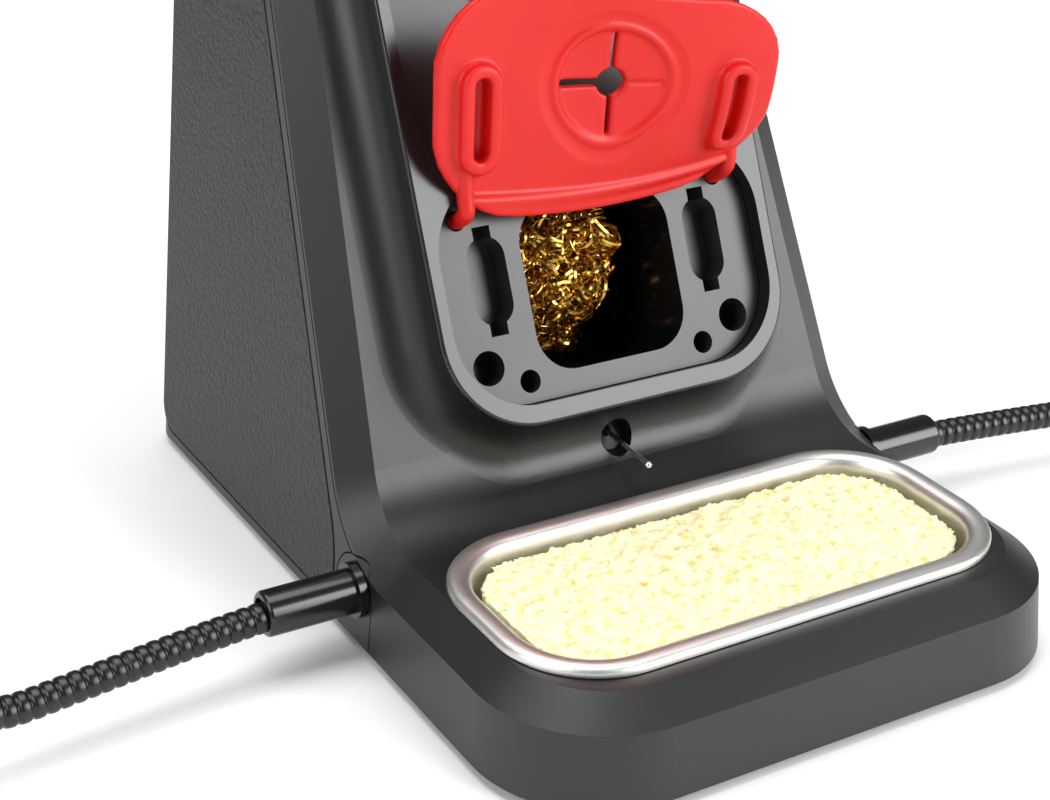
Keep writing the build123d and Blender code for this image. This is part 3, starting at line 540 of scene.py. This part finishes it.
BRASS, shader = new_material("bright_brass_turnings", 0.24, metallic=1.0, colour="#C08A2E")
place = add_node(BRASS, "ShaderNodeTexCoord")
heat = add_node(BRASS, "ShaderNodeTexNoise", Vector=(place, "Object"), Scale=1 / (2.5 * MM), Detail=3.0)
tint = add_node(BRASS, "ShaderNodeValToRGB", Fac=(heat, "Fac"))
tint.color_ramp.elements[0].position, tint.color_ramp.elements[0].color = 0.3, linear("#A8701C")
tint.color_ramp.elements[1].position, tint.color_ramp.elements[1].color = 0.7, linear("#E9C46A")
link(BRASS, tint, "Color", shader, "Base Color")
scratch = add_node(BRASS, "ShaderNodeTexNoise", Vector=(place, "Object"), Scale=1 / (0.25 * MM), Detail=2.0)
relief = add_node(BRASS, "ShaderNodeBump", Height=(scratch, "Fac"), Strength=0.4, Distance=0.00002)
link(BRASS, relief, "Normal", shader, "Normal")
# painted shade: the core's dark brass colour stands for the shade inside the ball
BRASS_SHADE = moulded_plastic("wool_painted_shade", "#2A1D0A", "#4A3412", 0.5, 0.6, 0.2)
BRASS_SHADE.node_tree.nodes["Principled BSDF"].inputs["Metallic"].default_value = 0.8
for piece, material in ((turnings, BRASS), (core, BRASS_SHADE)):
    piece.data.materials.clear()
    piece.data.materials.append(material)
    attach(piece, "wool")
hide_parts("brass_wool")


# ---------------------------------------------------------------------------------------------
# Sponge tray: deep-drawn stainless steel with a rim rolled over all round, which hangs in the
# opening of the shoe. It is brushed along its length and lifts straight out.
# ---------------------------------------------------------------------------------------------
TRAY_MIDDLE = -52.1
TRAY_SIZE, TRAY_CORNER, TRAY_EDGE_Z, TRAY_SHEET = (109.2, 52.2), 19.4, 21.0, 0.6
clear_selection()
bpy.ops.mesh.primitive_plane_add(size=1, location=(0, TRAY_MIDDLE * MM, TRAY_EDGE_Z * MM))
tray = bpy.context.object
tray.name = "drawn_tray"
tray.scale = (TRAY_SIZE[0] * MM, TRAY_SIZE[1] * MM, 1)
bpy.ops.object.transform_apply(location=True, rotation=True, scale=True)
bpy.ops.object.mode_set(mode="EDIT")
bpy.ops.mesh.select_all(action="SELECT")
bpy.ops.mesh.bevel(offset=TRAY_CORNER * MM, segments=14, affect="VERTICES")
bpy.ops.mesh.select_all(action="SELECT")
# inset and rise of each ring, from the rim's outer edge over the roll and down to the floor
for inset, rise in ((0.001, 0.9), (0.35, 0.55), (0.75, 0.30), (1.0, 0.05), (1.0, -0.08), (0.8, -0.32),
                    (0.55, -0.55), (0.3, -0.75), (0.15, -1.6), (0.12, -4.5), (0.12, -4.0), (0.4, -1.3),
                    (0.9, -0.8), (1.4, -0.35), (1.5, -0.05)):
    bpy.ops.mesh.inset(thickness=inset * MM, depth=0)
    bpy.ops.transform.translate(value=(0, 0, rise * MM))
bpy.ops.object.mode_set(mode="OBJECT")
wall = tray.modifiers.new("wall", "SOLIDIFY")
wall.thickness, wall.offset = TRAY_SHEET * MM, -1
apply_all(tray)
bpy.ops.object.shade_smooth_by_angle(angle=radians(50))
TRAY_STEEL = brushed_steel("brushed_stainless_tray", "#E2E0DC", 0.38, (0.04, 1, 1), 0.25)
tray.data.materials.clear()
tray.data.materials.append(TRAY_STEEL)
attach(tray, "tray")
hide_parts("sponge_tray")


# ---------------------------------------------------------------------------------------------
# Sponge: a pressed cellulose slab, pale yellow, dry and open-pored, cut to the tray with a hot
# wire, so its edge is ragged. It lies loose in the tray.
# ---------------------------------------------------------------------------------------------
SPONGE_SIZE, SPONGE_THICK, SPONGE_CORNER, SPONGE_LOW = (96.4, 39.6), 11.9, 13, 8.4
clear_selection()
bpy.ops.mesh.primitive_plane_add(size=1, location=(0, TRAY_MIDDLE * MM, SPONGE_LOW * MM))
sponge = bpy.context.object
sponge.name = "cellulose_sponge"
sponge.scale = (SPONGE_SIZE[0] * MM, SPONGE_SIZE[1] * MM, 1)
bpy.ops.object.transform_apply(location=True, rotation=True, scale=True)
bpy.ops.object.mode_set(mode="EDIT")
bpy.ops.mesh.select_all(action="SELECT")
bpy.ops.mesh.bevel(offset=SPONGE_CORNER * MM, segments=10, affect="VERTICES")
bpy.ops.mesh.select_all(action="SELECT")
bpy.ops.mesh.extrude_region_move(TRANSFORM_OT_translate={"value": (0, 0, SPONGE_THICK * MM)})
bpy.ops.mesh.select_all(action="SELECT")
bpy.ops.mesh.normals_make_consistent(inside=False)
bpy.ops.object.mode_set(mode="OBJECT")
fuse = sponge.modifiers.new("fuse", "REMESH")
fuse.mode, fuse.voxel_size, fuse.use_smooth_shade = "VOXEL", 0.52 * MM, True
# torn cells at three sizes, about 4, 1.6 and 0.8 mm, all pushed into the surface
cells = bpy.data.textures.new("sponge_cells", "CLOUDS")
cells.noise_scale, cells.noise_depth = 4.0 * MM, 1
holes = bpy.data.textures.new("sponge_holes", "CLOUDS")
holes.noise_scale, holes.noise_depth, holes.noise_type = 1.6 * MM, 1, "HARD_NOISE"
crumb = bpy.data.textures.new("sponge_crumb", "CLOUDS")
crumb.noise_scale, crumb.noise_depth = 0.8 * MM, 1
for texture, amount in ((cells, 1.2), (holes, 1.0), (crumb, 0.7)):
    press = sponge.modifiers.new("press", "DISPLACE")
    press.texture, press.texture_coords = texture, "LOCAL"
    press.strength, press.mid_level = amount * MM, 0.62
apply_all(sponge)

SPONGE, shader = new_material("dry_cellulose_sponge", 0.86, ior=1.47, colour="#EFE9BC")
place = add_node(SPONGE, "ShaderNodeTexCoord")
pores = add_node(SPONGE, "ShaderNodeTexNoise", Vector=(place, "Object"), Scale=1 / (2.2 * MM), Detail=4.0)
pore_colour = add_node(SPONGE, "ShaderNodeValToRGB", Fac=(pores, "Fac"))
pore_colour.color_ramp.elements[0].position = 0.30
pore_colour.color_ramp.elements[0].color = linear("#DCCB74")
pore_colour.color_ramp.elements[1].position = 0.50
pore_colour.color_ramp.elements[1].color = linear("#EFEAC2")
link(SPONGE, pore_colour, "Color", shader, "Base Color")
fibre = add_node(SPONGE, "ShaderNodeTexNoise", Vector=(place, "Object"), Scale=1 / (0.4 * MM), Detail=4.0)
relief = add_node(SPONGE, "ShaderNodeBump", Height=(fibre, "Fac"), Strength=0.8, Distance=0.0002)
link(SPONGE, relief, "Normal", shader, "Normal")
shader.inputs["Subsurface Weight"].default_value = 0.3
shader.inputs["Subsurface Radius"].default_value = (0.0015, 0.0013, 0.0007)
shader.inputs["Subsurface Scale"].default_value = 1.0
sponge.data.materials.clear()
sponge.data.materials.append(SPONGE)
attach(sponge, "sponge_pad")
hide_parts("sponge")


# ---------------------------------------------------------------------------------------------
# Solder feed: tin solder wound on a moulded spool behind the front. The wire comes out through a
# round hole above the shoe and ends in the small ball that the last joint left on it.
# ---------------------------------------------------------------------------------------------
TIN, shader = new_material("bright_tin_solder", 0.25, metallic=1.0, colour="#C9CACC")
place = add_node(TIN, "ShaderNodeTexCoord")
dull = add_node(TIN, "ShaderNodeTexNoise", Vector=(place, "Object"), Scale=1 / (1.5 * MM), Detail=3.0)
shine = add_node(TIN, "ShaderNodeMapRange", Value=(dull, "Fac"), To_Min=0.18, To_Max=0.36)
link(TIN, shine, "Result", shader, "Roughness")
# turns of 1 mm wire side by side along the spool
turns_of_wire = add_node(TIN, "ShaderNodeTexWave", {"bands_direction": "X"}, Vector=(place, "Object"),
                         Scale=pi / 10 / MM, Distortion=0.0)
relief = add_node(TIN, "ShaderNodeBump", Height=(turns_of_wire, "Fac"), Strength=0.7, Distance=0.0003)
link(TIN, relief, "Normal", shader, "Normal")
finish_node("solder_winding", TIN)
PLAIN_TIN, shader = new_material("drawn_tin_wire", 0.26, metallic=1.0, colour="#E2E3E4")
place = add_node(PLAIN_TIN, "ShaderNodeTexCoord")
drawn = add_node(PLAIN_TIN, "ShaderNodeTexNoise", Vector=(place, "Object"), Scale=1 / (0.8 * MM), Detail=3.0)
shine = add_node(PLAIN_TIN, "ShaderNodeMapRange", Value=(drawn, "Fac"), To_Min=0.16, To_Max=0.34)
link(PLAIN_TIN, shine, "Result", shader, "Roughness")
finish_node("solder_wire", PLAIN_TIN)


# ---------------------------------------------------------------------------------------------
# Goosenecks: steel strip wound to a ribbed hose, blacked, gripped by a turned socket through the
# side wall. Each has a rib every 2.6 mm and holds the shape that it is bent to.
# ---------------------------------------------------------------------------------------------
BLACKED, shader = new_material("blacked_wound_steel", 0.30, metallic=0.0, ior=1.5, colour="#0E0E0F")
place = add_node(BLACKED, "ShaderNodeTexCoord")
oxide = add_node(BLACKED, "ShaderNodeTexNoise", Vector=(place, "Object"), Scale=1 / (3 * MM), Detail=3.0)
shine = add_node(BLACKED, "ShaderNodeMapRange", Value=(oxide, "Fac"), To_Min=0.22, To_Max=0.40)
link(BLACKED, shine, "Result", shader, "Roughness")
wear = add_node(BLACKED, "ShaderNodeTexNoise", Vector=(place, "Object"), Scale=1 / (0.3 * MM), Detail=2.0)
relief = add_node(BLACKED, "ShaderNodeBump", Height=(wear, "Fac"), Strength=0.3, Distance=0.00003)
link(BLACKED, relief, "Normal", shader, "Normal")
GLOSS_SLEEVE = moulded_plastic("gloss_black_sleeve", "#0C0C0D", "#131314", 0.20, 1.0, 0.004)
finish_node("left_arm_socket", GLOSS_SLEEVE)
finish_node("right_arm_socket", GLOSS_SLEEVE)

BENDS = [Vector(p) * MM for p in ((84.5, -18.5, 12.7), (134, -23.6, 10.6), (183, -30, 32), (207, -38, 78),
                                  (204, -46, 127))]
RIB_PITCH, HOSE_R, GROOVE_R, RIB_HEIGHT = 2.6, 2.45, 2.28, 0.70
BEND_EASE = 14          # the curve leaves the straight run this far from a bend
# points of the hose's centre line: into the socket, and either side of each bend
MOUTH = Vector((71, -18, 12.9)) * MM
line_points = [MOUTH, BENDS[0]]
for before, bend, after in zip(BENDS, BENDS[1:], BENDS[2:]):
    line_points += [bend + (before - bend).normalized() * BEND_EASE * MM, bend,
                    bend + (after - bend).normalized() * BEND_EASE * MM]
line_points.append(BENDS[4] - (BENDS[4] - BENDS[3]).normalized() * 0.5 * MM)
clear_selection()
bpy.ops.curve.primitive_nurbs_path_add()
route = bpy.context.object
route.name = "hose_route"
route.data.splines.clear()
line = route.data.splines.new("NURBS")
line.points.add(len(line_points) - 1)
for spot, place in zip(line.points, line_points):
    spot.co = (*place, 1)
line.order_u, line.use_endpoint_u, line.resolution_u = 3, True, 16
route.data.dimensions, route.data.twist_mode = "3D", "MINIMUM"
clear_selection()
measured = bpy.data.meshes.new_from_object(route)
spots = measured.vertices
route_length = sum((spots[e.vertices[0]].co - spots[e.vertices[1]].co).length for e in measured.edges)
ribs = int(route_length / (RIB_PITCH * MM))
# one rib of the hose: a rounded crest between two halves of a groove
bpy.ops.mesh.primitive_cylinder_add(vertices=28, radius=HOSE_R * MM, depth=RIB_PITCH * MM,
                                    end_fill_type="NOTHING", rotation=(0, pi / 2, 0),
                                    location=(RIB_PITCH / 2 * MM, 0, 0))
hose = bpy.context.object
hose.name = "hose"
bpy.ops.object.transform_apply(location=True, rotation=True, scale=True)
shape = bmesh.new()
shape.from_mesh(hose.data)
lengthwise = [e for e in shape.edges if abs(e.verts[0].co.x - e.verts[1].co.x) > 0.001]
bmesh.ops.subdivide_edges(shape, edges=lengthwise, cuts=7)
for vertex in shape.verts:
    part = vertex.co.x / (RIB_PITCH * MM)
    crest = GROOVE_R + RIB_HEIGHT * (max(0, 1 - abs(2 * part - 1) ** 3.2 / 0.86)) ** 0.5
    vertex.co.y, vertex.co.z = vertex.co.y * crest / HOSE_R, vertex.co.z * crest / HOSE_R
shape.to_mesh(hose.data)
shape.free()
row = hose.modifiers.new("row", "ARRAY")
row.count, row.use_merge_vertices, row.merge_threshold = ribs, True, 0.00002
follow = hose.modifiers.new("follow", "CURVE")
follow.object, follow.deform_axis = route, "POS_X"
apply_all(hose)
bpy.ops.object.shade_smooth()
bpy.data.objects.remove(route)


def hose_length(name, start_cut, end_cut, mirrored):
    """The stretch of hose between two planes across it, closed at the cuts."""
    clear_selection()
    bpy.context.view_layer.objects.active = hose
    hose.select_set(True)
    bpy.ops.object.duplicate()
    piece = bpy.context.object
    piece.name = name
    bpy.ops.object.mode_set(mode="EDIT")
    for place, facing, inner in (start_cut, end_cut):
        if place is not None:
            bpy.ops.mesh.select_all(action="SELECT")
            bpy.ops.mesh.bisect(plane_co=place, plane_no=facing, clear_inner=inner, clear_outer=not inner,
                                use_fill=True)
    bpy.ops.mesh.select_all(action="SELECT")
    bpy.ops.mesh.fill_holes(sides=0)
    bpy.ops.object.mode_set(mode="OBJECT")
    if mirrored:
        piece.data.transform(Matrix.Scale(-1, 4, (1, 0, 0)))
        piece.data.flip_normals()
    return piece


halves = [(a + b) / 2 for a, b in zip(BENDS, BENDS[1:])]
runs = [(b - a).normalized() for a, b in zip(BENDS, BENDS[1:])]
NONE = (None, None, False)
BLEND_HALF = 7          # millimetres either side of a bend; the loop below works out the points there but does not use them
for side, label in ((1, "right"), (-1, "left")):
    for k in range(4):
        start_cut = NONE if k == 0 else (halves[k - 1], runs[k - 1], True)
        end_cut = NONE if k == 3 else (halves[k], runs[k], False)
        piece = hose_length(f"{label}_hose_{k + 1}", start_cut, end_cut, side < 0)
        piece.data.materials.clear()
        piece.data.materials.append(BLACKED)
        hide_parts(f"{label}_neck_{k + 1}")
        run_before = runs[k - 1] if k else Vector((1, 0, 0))
        for back, along in ((-BLEND_HALF, run_before), (BLEND_HALF, runs[k])):
            place = BENDS[k] + along * back * MM
        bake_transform(piece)
bpy.data.objects.remove(hose)


# ---------------------------------------------------------------------------------------------
# Clips: pressed and nickel-plated spring steel. The lower jaw is crimped on the hose, the upper one
# turns on a pin with a coil spring.
# ---------------------------------------------------------------------------------------------
NICKEL = brushed_steel("nickel_plated_spring_steel", "#BDB8AE", 0.26, (1, 1, 0.15), 0.4)
for side in ("left", "right"):
    for name in ("clip_base", "clip_jaw", "clip_pin", "clip_spring"):
        finish_node(f"{side}_{name}", NICKEL)


# ---------------------------------------------------------------------------------------------
# The table and the light: a white sheet, a pale room, a large soft light from the front right that
# draws the highlight down the front plate, and a smaller one from the left for the side panel.
# ---------------------------------------------------------------------------------------------
TABLE_W = 8             # metres
ROOM_LIGHT = 0.16
clear_selection()
bpy.ops.mesh.primitive_plane_add(size=TABLE_W, location=(0, 0, 0))
table = bpy.context.object
table.name = "table"
WHITE, shader = new_material("white_sheet", 0.9, colour="#F4F4F4")
table.data.materials.append(WHITE)


def soft_light(name, spot, target, size, power):
    """A square soft light aimed at a point."""
    bpy.ops.object.light_add(type="AREA", location=spot)
    lamp = bpy.context.object
    lamp.name = name
    lamp.rotation_euler = (Vector(target) - Vector(spot)).to_track_quat("-Z", "Y").to_euler()
    lamp.data.size, lamp.data.energy = size, power
    return lamp


soft_light("front_right", (0.75, -1.05, 0.62), (0, 0, 0.08), 0.9, 22)
soft_light("left_side", (-1.1, -0.2, 0.7), (0, 0, 0.08), 0.8, 10)
soft_light("overhead", (0.0, 0.3, 1.4), (0, 0, 0.0), 1.2, 18)
world = bpy.data.worlds.new("pale_room")
world.use_nodes = True
world.node_tree.nodes["Background"].inputs["Color"].default_value = (1, 1, 1, 1)
world.node_tree.nodes["Background"].inputs["Strength"].default_value = ROOM_LIGHT
bpy.context.scene.world = world
bpy.context.scene.view_settings.view_transform = "Standard"
